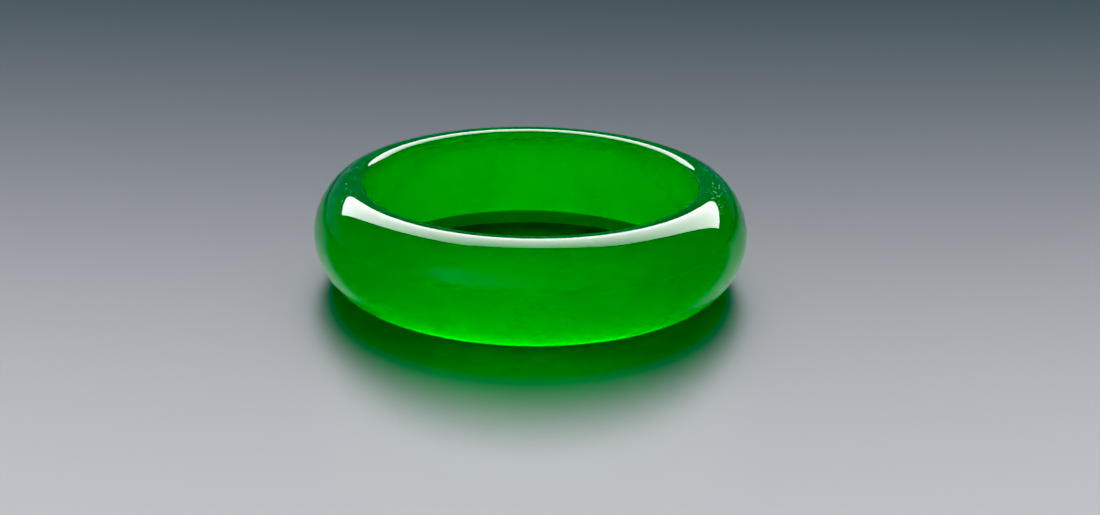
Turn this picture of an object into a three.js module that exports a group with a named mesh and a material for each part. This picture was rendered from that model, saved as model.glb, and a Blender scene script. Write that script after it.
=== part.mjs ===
// A bangle bracelet carved from one piece of translucent green stone: a closed ring with a
// D-shaped section, domed outside, straight inside, with both inner edges eased for the hand.
// Millimetres, +Z up. The ring lies flat, and the origin is the centre of the circle it rests on.

import * as THREE from "three";

// Driving dimensions
const INNER_DIAMETER = 56.4; // the hole that the hand passes through
const WALL = 8.8; // from the hole to the widest point of the dome
const HEIGHT = 18; // width of the band, which is its height as it lies
const CREST_FLAT = 0.4; // polished flat at the crest of each rim, which the ring rests on
const EASE_RUN = 2; // how far each eased inner edge runs from that flat in to the hole
const EASE_RISE = 3; // how far it runs along the inner wall

// Fullness of a curved stretch, as a share of its box: 0 is a straight cut, 0.55 nearly an
// ellipse, and 1 a square corner. The ease is almost level at the crest and turns at the wall.
const DOME_FULLNESS = 0.49;
const EASE_CREST_FULLNESS = 0.78;
const EASE_WALL_FULLNESS = 0.97;

// Facets
const TURN_STEPS = 96;
const CURVE_STEPS = 8;

const INNER_RADIUS = INNER_DIAMETER / 2;
const OUTER_RADIUS = INNER_RADIUS + WALL;

// A rounded corner from the path's current point to end. It leaves and arrives along the
// sides of the box between the two points, leaving along leaveAxis, "x" or "y".
function roundTo(path, end, leaveAxis, leaveFullness, arriveFullness) {
  const start = path.currentPoint.clone();
  const corner = leaveAxis === "x" ? new THREE.Vector2(end.x, start.y) : new THREE.Vector2(start.x, end.y);
  const leave = start.clone().lerp(corner, leaveFullness);
  const arrive = end.clone().lerp(corner, arriveFullness);
  path.bezierCurveTo(leave.x, leave.y, arrive.x, arrive.y, end.x, end.y);
}

// The ring's section, x out from the axis and y up, counter-clockwise from the lower crest.
function ringSection() {
  const easeStart = INNER_RADIUS + EASE_RUN;
  const domeStart = easeStart + CREST_FLAT;
  const belly = new THREE.Vector2(OUTER_RADIUS, HEIGHT / 2);
  const upperCrest = new THREE.Vector2(domeStart, HEIGHT);
  const wallTop = new THREE.Vector2(INNER_RADIUS, HEIGHT - EASE_RISE);
  const lowerEase = new THREE.Vector2(easeStart, 0);

  const section = new THREE.Path();
  section.moveTo(domeStart, 0);
  roundTo(section, belly, "x", DOME_FULLNESS, DOME_FULLNESS);
  roundTo(section, upperCrest, "y", DOME_FULLNESS, DOME_FULLNESS);
  section.lineTo(easeStart, HEIGHT);
  roundTo(section, wallTop, "x", EASE_CREST_FULLNESS, EASE_WALL_FULLNESS);
  section.lineTo(INNER_RADIUS, EASE_RISE);
  roundTo(section, lowerEase, "y", EASE_WALL_FULLNESS, EASE_CREST_FULLNESS);
  section.lineTo(domeStart, 0);
  return section.getPoints(CURVE_STEPS);
}

function bangleRing() {
  const geometry = new THREE.LatheGeometry(ringSection(), TURN_STEPS);
  geometry.rotateX(Math.PI / 2); // from the lathe's Y axis to +Z
  const stone = new THREE.MeshStandardMaterial({ color: 0x0a8a1e, roughness: 0.08, metalness: 0 });
  const ring = new THREE.Mesh(geometry, stone);
  ring.name = "bangle_ring";
  return ring;
}

const bangle = new THREE.Group();
bangle.name = "bangle";
bangle.add(bangleRing());

export default bangle;
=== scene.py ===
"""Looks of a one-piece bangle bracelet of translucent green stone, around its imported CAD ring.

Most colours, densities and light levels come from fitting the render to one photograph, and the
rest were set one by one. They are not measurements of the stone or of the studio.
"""

import math

import bmesh
import bpy
from mathutils import Matrix, Vector, noise


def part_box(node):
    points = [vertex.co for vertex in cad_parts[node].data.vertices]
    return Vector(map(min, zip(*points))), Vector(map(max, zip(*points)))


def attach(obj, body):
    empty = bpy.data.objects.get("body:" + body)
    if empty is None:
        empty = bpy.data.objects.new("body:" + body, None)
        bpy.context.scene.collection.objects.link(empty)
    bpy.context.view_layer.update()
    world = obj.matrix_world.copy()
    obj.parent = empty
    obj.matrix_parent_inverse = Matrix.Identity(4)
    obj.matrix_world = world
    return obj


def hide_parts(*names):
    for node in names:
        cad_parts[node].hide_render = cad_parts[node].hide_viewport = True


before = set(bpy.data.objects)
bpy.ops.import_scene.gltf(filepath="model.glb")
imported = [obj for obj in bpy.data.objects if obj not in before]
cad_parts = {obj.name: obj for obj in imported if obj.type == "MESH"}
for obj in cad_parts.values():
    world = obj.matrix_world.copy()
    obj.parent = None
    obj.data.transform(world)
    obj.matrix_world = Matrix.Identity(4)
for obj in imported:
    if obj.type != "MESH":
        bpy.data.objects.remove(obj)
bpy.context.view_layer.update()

MM = 0.001

# The ring's section. Its outer radius and height come from the frame.
ring_low, ring_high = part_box("bangle_ring")
OUTER_RADIUS = ring_high.x
HEIGHT = ring_high.z
WALL = 8.8 * MM
CREST_FLAT = 0.4 * MM
EASE_RUN = 2 * MM
EASE_RISE = 3 * MM
DOME_FULLNESS = 0.49
EASE_CREST_FULLNESS = 0.78
EASE_WALL_FULLNESS = 0.97
INNER_RADIUS = OUTER_RADIUS - WALL

# Fineness of the visual mesh
TURN_STEPS = 420
DOME_STEPS = 40
EASE_STEPS = 24
WALL_STEPS = 16
CREST_STEPS = 3

# Hand polishing leaves the surface very slightly wavy.
POLISH_WAVE_DEPTH = 0.012 * MM
POLISH_WAVE_LENGTH = 9 * MM


def rounded_corner(start, corner, end, leave_fullness, arrive_fullness, steps):
    """Points from start to just before end on a Bezier curve inside the box between them."""
    leave = start.lerp(corner, leave_fullness)
    arrive = end.lerp(corner, arrive_fullness)
    points = []
    for i in range(steps):
        t = i / steps
        s = 1 - t
        points.append(s**3 * start + 3 * s * s * t * leave + 3 * s * t * t * arrive + t**3 * end)
    return points


def straight(start, end, steps):
    """Points from start to just before end."""
    return [start.lerp(end, i / steps) for i in range(steps)]


def upper_half():
    """The section's upper half as (radius, height above the middle), from the belly to the wall."""
    top = HEIGHT / 2
    ease_start = INNER_RADIUS + EASE_RUN
    belly = Vector((OUTER_RADIUS, 0))
    crest_outer = Vector((ease_start + CREST_FLAT, top))
    crest_inner = Vector((ease_start, top))
    wall_top = Vector((INNER_RADIUS, top - EASE_RISE))
    dome_corner = Vector((belly.x, top))
    ease_corner = Vector((wall_top.x, top))
    return (
        rounded_corner(belly, dome_corner, crest_outer, DOME_FULLNESS, DOME_FULLNESS, DOME_STEPS)
        + straight(crest_outer, crest_inner, CREST_STEPS)
        + rounded_corner(
            crest_inner, ease_corner, wall_top, EASE_CREST_FULLNESS, EASE_WALL_FULLNESS, EASE_STEPS
        )
        + straight(wall_top, Vector((INNER_RADIUS, 0)), WALL_STEPS)
        + [Vector((INNER_RADIUS, 0))]
    )


def ring_section():
    """The closed outline as (radius, height) points, counter-clockwise from the belly."""
    upper = upper_half()
    lower = [Vector((p.x, -p.y)) for p in reversed(upper[1:-1])]
    return [Vector((p.x, p.y + HEIGHT / 2)) for p in upper + lower]


def polish_waves(mesh):
    """Moves the vertices along their normals by a soft noise, which fades out where the ring rests."""
    mesh.normal_update()
    for vert in mesh.verts:
        wave = noise.noise(vert.co / POLISH_WAVE_LENGTH)
        height_share = min(vert.co.z, HEIGHT - vert.co.z) / (HEIGHT / 2)
        vert.co += vert.normal * wave * POLISH_WAVE_DEPTH * math.sqrt(height_share)


def ring_piece(name):
    section = ring_section()
    mesh = bmesh.new()
    loops = []
    for step in range(TURN_STEPS):
        turn = 2 * math.pi * step / TURN_STEPS
        loops.append([mesh.verts.new((p.x * math.cos(turn), p.x * math.sin(turn), p.y)) for p in section])
    for step in range(TURN_STEPS):
        here, there = loops[step], loops[(step + 1) % TURN_STEPS]
        for i in range(len(section)):
            j = (i + 1) % len(section)
            mesh.faces.new((here[i], there[i], there[j], here[j])).smooth = True
    polish_waves(mesh)
    data = bpy.data.meshes.new(name)
    mesh.to_mesh(data)
    mesh.free()
    ring = bpy.data.objects.new(name, data)
    bpy.context.scene.collection.objects.link(ring)
    return ring


def new_node(tree, kind, inputs, **settings):
    """A node whose inputs are each set to a plain value or linked to another node's output."""
    node = tree.nodes.new(kind)
    for name, value in settings.items():
        setattr(node, name, value)
    for name, value in inputs.items():
        if isinstance(value, bpy.types.NodeSocket):
            tree.links.new(value, node.inputs[name])
        else:
            node.inputs[name].default_value = value
    return node


NOISE_DETAIL = 3
NOISE_MIDDLE = 0.5


def clouds(tree, place, grain):
    """A soft noise between 0 and 1 whose features are about grain metres across."""
    inputs = {"Vector": place, "Scale": 1 / grain, "Detail": NOISE_DETAIL}
    return new_node(tree, "ShaderNodeTexNoise", inputs).outputs["Fac"]


def remap(tree, value, start, end, to_start=0.0, to_end=1.0, interpolation="SMOOTHSTEP"):
    """Value rescaled from start..end to to_start..to_end, and held at both."""
    inputs = {"Value": value, "From Min": start, "From Max": end, "To Min": to_start, "To Max": to_end}
    return new_node(tree, "ShaderNodeMapRange", inputs, interpolation_type=interpolation).outputs["Result"]


def calculate(tree, operation, first, second):
    return new_node(tree, "ShaderNodeMath", {0: first, 1: second}, operation=operation).outputs[0]


def size_of(tree, value):
    """Value without its sign."""
    return new_node(tree, "ShaderNodeMath", {0: value}, operation="ABSOLUTE").outputs[0]


def blend(tree, share, first, second):
    """The colour first where share is 0 and second where it is 1."""
    inputs = {"Fac": share, "Color1": first, "Color2": second}
    return new_node(tree, "ShaderNodeMixRGB", inputs).outputs["Color"]


# The stone inside: green glassy stone with a haze that scatters light mostly forwards
STONE_IOR = 1.688
ABSORBED_PER_METRE = (900, 10, 427)
HAZE_PER_METRE = 546
HAZE_COLOUR = (0.0, 1.0, 0.03, 1)
HAZE_FORWARD = 0.904

# Its surface
STONE_SHINE = 0.25
STONE_COLOUR = (0.02, 1.0, 0.03, 1)
CLOUD_COLOUR = (0.017, 0.93, 0.026, 1)
CLOUD_GRAIN = 11 * MM
CLOUD_EDGES = (0.35, 0.65)
POLISHED_ROUGHNESS = 0.03
SMEARED_ROUGHNESS = 0.07
SMEAR_GRAIN = 5 * MM
SMEAR_EDGES = (0.4, 0.7)
SMEAR_DEPTH = 0.004 * MM

# Thin pale fibres in it
WISP_COLOUR = (0.06, 1.0, 0.2, 1)
WISP_MILKINESS = 0.12
WISP_GRAIN = 7 * MM
WISP_FLATNESS = 4.0
WISP_WIDTH = 0.022
WISP_PATCH_EDGES = (0.5, 0.66)

# Painted shade: a dark tint on the eased inner edge at the foot, where the ring meets the floor, for the
# dark band seen there
FOOT_SHADE_COLOUR = (0.01, 0.12, 0.01, 1)
FOOT_SHADE_BLUR = 0.4 * MM

# Tiny pits on the crests at the ring's two sides, where the photograph shows them
PIT_COLOUR = (0.35, 1.0, 0.6, 1)
PIT_MILKINESS = 0.8
PIT_ROUGHNESS = 0.35
PIT_GRAIN = 0.6 * MM
PIT_SIZE_EDGES = (0.12, 0.28)
PIT_PATCH_GRAIN = 3.7 * MM
PIT_PATCH_EDGES = (0.35, 0.55)
PIT_LOWEST_CLIMB = 5 * MM
PIT_SIDE_EDGES = (0.72, 0.86)


def stone_volume(tree):
    """Absorption, which makes the depth green, and a haze that carries light around inside."""
    densest = max(ABSORBED_PER_METRE)
    kept = (*[1 - a / densest for a in ABSORBED_PER_METRE], 1)
    absorb = new_node(tree, "ShaderNodeVolumeAbsorption", {"Color": kept, "Density": densest})
    haze_inputs = {"Color": HAZE_COLOUR, "Density": HAZE_PER_METRE, "Anisotropy": HAZE_FORWARD}
    haze = new_node(tree, "ShaderNodeVolumeScatter", haze_inputs)
    both = new_node(tree, "ShaderNodeAddShader", {0: absorb.outputs[0], 1: haze.outputs[0]})
    tree.links.new(both.outputs[0], tree.nodes["Material Output"].inputs["Volume"])


def wisps(tree, place):
    """1 along thin pale fibres, which lie flat in the ring and come in patches, and 0 elsewhere."""
    flattened = {"Vector": place, "Scale": (1, 1, WISP_FLATNESS)}
    layers = new_node(tree, "ShaderNodeMapping", flattened).outputs["Vector"]
    off_middle = calculate(tree, "SUBTRACT", clouds(tree, layers, WISP_GRAIN), NOISE_MIDDLE)
    fibre = remap(tree, size_of(tree, off_middle), 0, WISP_WIDTH, 1, 0)
    patch = remap(tree, clouds(tree, place, CLOUD_GRAIN), *WISP_PATCH_EDGES)
    return calculate(tree, "MULTIPLY", fibre, patch)


def painted_foot_shade(tree, place):
    """1 on the lower eased inner edge, where shade is painted into the colour, and 0 elsewhere."""
    axes = new_node(tree, "ShaderNodeSeparateXYZ", {"Vector": place}).outputs
    flat = new_node(tree, "ShaderNodeCombineXYZ", {"X": axes["X"], "Y": axes["Y"]}).outputs["Vector"]
    radius = new_node(tree, "ShaderNodeVectorMath", {0: flat}, operation="LENGTH").outputs["Value"]
    crest = INNER_RADIUS + EASE_RUN
    inside = remap(tree, radius, crest - FOOT_SHADE_BLUR, crest + FOOT_SHADE_BLUR, 1, 0)
    low = remap(tree, axes["Z"], EASE_RISE - FOOT_SHADE_BLUR, EASE_RISE, 1, 0)
    return calculate(tree, "MULTIPLY", inside, low)


def pits(tree, place):
    """1 in tiny pits that the polish left open, on the crests at two sides, and 0 elsewhere."""
    axes = new_node(tree, "ShaderNodeSeparateXYZ", {"Vector": place}).outputs
    climb = size_of(tree, calculate(tree, "SUBTRACT", axes["Z"], HEIGHT / 2))
    near_crest = remap(tree, climb, PIT_LOWEST_CLIMB, HEIGHT / 2)
    sideways = size_of(tree, calculate(tree, "DIVIDE", axes["X"], OUTER_RADIUS))
    at_side = remap(tree, sideways, *PIT_SIDE_EDGES)
    patch = remap(tree, clouds(tree, place, PIT_PATCH_GRAIN), *PIT_PATCH_EDGES)
    where = calculate(tree, "MULTIPLY", calculate(tree, "MULTIPLY", near_crest, at_side), patch)
    cells = new_node(tree, "ShaderNodeTexVoronoi", {"Vector": place, "Scale": 1 / PIT_GRAIN})
    spot = remap(tree, cells.outputs["Distance"], *PIT_SIZE_EDGES, 1, 0)
    return calculate(tree, "MULTIPLY", spot, where)


def stone_material():
    material = bpy.data.materials.new("green_stone")
    material.use_nodes = True
    tree = material.node_tree
    shader = tree.nodes["Principled BSDF"]
    place = new_node(tree, "ShaderNodeTexCoord", {}).outputs["Object"]

    cloud = remap(tree, clouds(tree, place, CLOUD_GRAIN), *CLOUD_EDGES)
    cloudy = blend(tree, cloud, STONE_COLOUR, CLOUD_COLOUR)
    wisp = wisps(tree, place)
    pit = pits(tree, place)
    pale = blend(tree, wisp, cloudy, WISP_COLOUR)
    # Painted shade at the foot: the lower eased inner edge is darkened in the colour.
    with_foot_shade = blend(tree, painted_foot_shade(tree, place), pale, FOOT_SHADE_COLOUR)
    tree.links.new(blend(tree, pit, with_foot_shade, PIT_COLOUR), shader.inputs["Base Color"])
    wisp_milk = calculate(tree, "MULTIPLY", wisp, WISP_MILKINESS)
    pit_milk = calculate(tree, "MULTIPLY", pit, PIT_MILKINESS)
    clearness = calculate(tree, "SUBTRACT", 1, calculate(tree, "MAXIMUM", wisp_milk, pit_milk))
    tree.links.new(clearness, shader.inputs["Transmission Weight"])

    smear = clouds(tree, place, SMEAR_GRAIN)
    polish = remap(tree, smear, *SMEAR_EDGES, POLISHED_ROUGHNESS, SMEARED_ROUGHNESS)
    roughness = calculate(tree, "MAXIMUM", polish, calculate(tree, "MULTIPLY", pit, PIT_ROUGHNESS))
    tree.links.new(roughness, shader.inputs["Roughness"])
    bump = new_node(tree, "ShaderNodeBump", {"Height": smear, "Distance": SMEAR_DEPTH})
    tree.links.new(bump.outputs["Normal"], shader.inputs["Normal"])

    shader.inputs["IOR"].default_value = STONE_IOR
    shader.inputs["Specular IOR Level"].default_value = STONE_SHINE
    stone_volume(tree)
    return material


# A plain glossy floor, dark near the ring as in the photograph and paler farther out
FLOOR_SIZE = 6.0
FLOOR_COLOUR = (0.024, 0.01, 0.032, 1)
FAR_FLOOR_COLOUR = (0.42, 0.38, 0.42, 1)
FAR_FLOOR_EDGES = (0.3, 0.9)
FLOOR_ROUGHNESS = 0.393
FLOOR_SHINE = 0.988


def floor_material():
    material = bpy.data.materials.new("floor")
    material.use_nodes = True
    tree = material.node_tree
    shader = tree.nodes["Principled BSDF"]
    place = new_node(tree, "ShaderNodeTexCoord", {}).outputs["Object"]
    from_ring = new_node(tree, "ShaderNodeVectorMath", {0: place}, operation="LENGTH").outputs["Value"]
    far = remap(tree, from_ring, *FAR_FLOOR_EDGES)
    tree.links.new(blend(tree, far, FLOOR_COLOUR, FAR_FLOOR_COLOUR), shader.inputs["Base Color"])
    shader.inputs["Roughness"].default_value = FLOOR_ROUGHNESS
    shader.inputs["Specular IOR Level"].default_value = FLOOR_SHINE
    return material


def floor_piece():
    mesh = bmesh.new()
    bmesh.ops.create_grid(mesh, x_segments=1, y_segments=1, size=FLOOR_SIZE / 2)
    data = bpy.data.meshes.new("floor")
    mesh.to_mesh(data)
    mesh.free()
    data.materials.append(floor_material())
    floor = bpy.data.objects.new("floor", data)
    bpy.context.scene.collection.objects.link(floor)


# The camera stands in front and above. It aims slightly past the ring's middle, a little tilted.
CAMERA_LENS = 72.0
CAMERA_DISTANCE = 377.3 * MM
CAMERA_ELEVATION = math.radians(19.21)
CAMERA_TURN = math.radians(0.513)
CAMERA_DIP = math.radians(0.744)
CAMERA_ROLL = math.radians(0.744)


def camera(centre):
    data = bpy.data.cameras.new("camera")
    data.lens = CAMERA_LENS
    cam = bpy.data.objects.new("camera", data)
    bpy.context.scene.collection.objects.link(cam)
    away = Vector((0, -math.cos(CAMERA_ELEVATION), math.sin(CAMERA_ELEVATION)))
    level = Matrix.Rotation(math.pi / 2 - CAMERA_ELEVATION, 3, "X")
    turn = level @ Matrix.Rotation(-CAMERA_TURN, 3, "Y") @ Matrix.Rotation(-CAMERA_DIP, 3, "X")
    cam.location = centre + CAMERA_DISTANCE * away
    cam.rotation_euler = (turn @ Matrix.Rotation(CAMERA_ROLL, 3, "Z")).to_euler()
    bpy.context.scene.camera = cam


# One large softbox leans over the ring from behind. Its edges are in shares of its distance, and
# it dims upwards and across by a share of its brightness.
SOFTBOX_DISTANCE = 380 * MM
SOFTBOX_LEAN = math.radians(17.4)
SOFTBOX_LEFT = -1.09
SOFTBOX_RIGHT = 1.412
SOFTBOX_LOW = 0.153
SOFTBOX_HIGH = 3.205
SOFTBOX_RADIANCE = 6.378
SOFTBOX_COLOUR = (1, 1, 1.02, 1)
SOFTBOX_FALL_UP = 0.763
SOFTBOX_FALL_ACROSS = -0.022
SOFTBOX_SOFT_TOP = 0.238


def softbox_glow(light):
    """Makes the softbox dimmer upwards and to one side, with a soft top edge."""
    light.use_nodes = True
    tree = light.node_tree
    spot = new_node(tree, "ShaderNodeNewGeometry", {}).outputs["Parametric"]
    axes = new_node(tree, "ShaderNodeSeparateXYZ", {"Vector": spot}).outputs
    fall_up = calculate(tree, "MULTIPLY", axes["Y"], SOFTBOX_FALL_UP)
    fall_across = calculate(tree, "MULTIPLY", axes["X"], SOFTBOX_FALL_ACROSS)
    kept_up = calculate(tree, "SUBTRACT", 1, fall_up)
    kept_across = calculate(tree, "SUBTRACT", 1, fall_across)
    from_top = calculate(tree, "SUBTRACT", 1, axes["Y"])
    top_edge = calculate(tree, "MINIMUM", calculate(tree, "DIVIDE", from_top, SOFTBOX_SOFT_TOP), 1)
    kept = calculate(tree, "MULTIPLY", kept_up, kept_across)
    emission = tree.nodes["Emission"]
    emission.inputs["Color"].default_value = SOFTBOX_COLOUR
    tree.links.new(calculate(tree, "MULTIPLY", kept, top_edge), emission.inputs["Strength"])


def softbox(centre):
    back = Vector((0, math.cos(SOFTBOX_LEAN), math.sin(SOFTBOX_LEAN)))
    up = Vector((0, -math.sin(SOFTBOX_LEAN), math.cos(SOFTBOX_LEAN)))
    across = Vector((1, 0, 0))
    middle = back + up * (SOFTBOX_LOW + SOFTBOX_HIGH) / 2 + across * (SOFTBOX_LEFT + SOFTBOX_RIGHT) / 2
    width = (SOFTBOX_RIGHT - SOFTBOX_LEFT) * SOFTBOX_DISTANCE
    height = (SOFTBOX_HIGH - SOFTBOX_LOW) * SOFTBOX_DISTANCE
    data = bpy.data.lights.new("softbox", "AREA")
    data.shape = "RECTANGLE"
    data.size = width
    data.size_y = height
    data.energy = SOFTBOX_RADIANCE * math.pi * width * height
    softbox_glow(data)
    light = bpy.data.objects.new("softbox", data)
    bpy.context.scene.collection.objects.link(light)
    facing = Matrix((-across, up, back)).transposed()
    light.matrix_world = Matrix.Translation(centre + middle * SOFTBOX_DISTANCE) @ facing.to_4x4()


# The studio round the ring is bright in front, behind the camera, and dim elsewhere. Each pair of
# edges is the stretch of a direction's Y, X or Z over which one level turns into another.
STUDIO_COLOUR = (1.216, 1, 1.646, 1)
STUDIO_BACK = 0.184
STUDIO_FRONT_COLOUR = (1.35, 1, 1.25, 1)
STUDIO_FRONT = 0.7
STUDIO_FRONT_EDGES = (-0.75, -0.25)
STUDIO_OFF_FLOOR_EDGES = (0, 0.35)
STUDIO_LEFT = 1.439
STUDIO_RIGHT = 0.561
STUDIO_SIDE_EDGES = (-1, 1)
STUDIO_ABOVE_HORIZON = 0.763
STUDIO_HORIZON_EDGES = (0, 0.3)
STUDIO_OVERHEAD = 0.6
STUDIO_OVERHEAD_EDGES = (0.38, 0.8)

# What the camera sees past the floor. It lights nothing.
BACKDROP_COLOUR = (0.3, 0.27, 0.31, 1)


def studio_air():
    world = bpy.data.worlds.new("studio")
    bpy.context.scene.world = world
    world.use_nodes = True
    tree = world.node_tree
    direction = new_node(tree, "ShaderNodeTexCoord", {}).outputs["Generated"]
    axes = new_node(tree, "ShaderNodeSeparateXYZ", {"Vector": direction}).outputs
    off_floor = remap(tree, axes["Z"], *STUDIO_OFF_FLOOR_EDGES)
    frontness = calculate(tree, "MULTIPLY", remap(tree, axes["Y"], *STUDIO_FRONT_EDGES, 1, 0), off_floor)
    level = remap(tree, frontness, 0, 1, STUDIO_BACK, STUDIO_FRONT)
    side = remap(tree, axes["X"], *STUDIO_SIDE_EDGES, STUDIO_LEFT, STUDIO_RIGHT, interpolation="LINEAR")
    above = remap(tree, axes["Z"], *STUDIO_HORIZON_EDGES, 1, STUDIO_ABOVE_HORIZON)
    overhead = remap(tree, axes["Z"], *STUDIO_OVERHEAD_EDGES, 1, STUDIO_OVERHEAD)
    around = calculate(tree, "MULTIPLY", level, side)
    strength = calculate(tree, "MULTIPLY", around, calculate(tree, "MULTIPLY", above, overhead))
    colour = blend(tree, frontness, STUDIO_COLOUR, STUDIO_FRONT_COLOUR)
    seen = new_node(tree, "ShaderNodeLightPath", {}).outputs["Is Camera Ray"]
    background = tree.nodes["Background"]
    tree.links.new(blend(tree, seen, colour, BACKDROP_COLOUR), background.inputs["Color"])
    tree.links.new(remap(tree, seen, 0, 1, strength, 1), background.inputs["Strength"])


# Red and blue reach black a little early, in place of whatever made the photograph's greens so deep.
BLACK_LEVEL = (0.062, 0, 0.042)
SCATTERINGS = 12
TRANSMISSIONS = 16
ALL_BOUNCES = 24


def picture_settings():
    scene = bpy.context.scene
    scene.view_settings.view_transform = "Standard"
    scene.view_settings.use_curve_mapping = True
    scene.view_settings.curve_mapping.black_level = BLACK_LEVEL
    scene.cycles.volume_bounces = SCATTERINGS
    scene.cycles.transmission_bounces = TRANSMISSIONS
    scene.cycles.max_bounces = ALL_BOUNCES


ring = ring_piece("jade_bangle")
ring.data.materials.append(stone_material())
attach(ring, "root")
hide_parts("bangle_ring")

floor_piece()
ring_centre = Vector((0, 0, HEIGHT / 2))
camera(ring_centre)
softbox(ring_centre)
studio_air()
picture_settings()
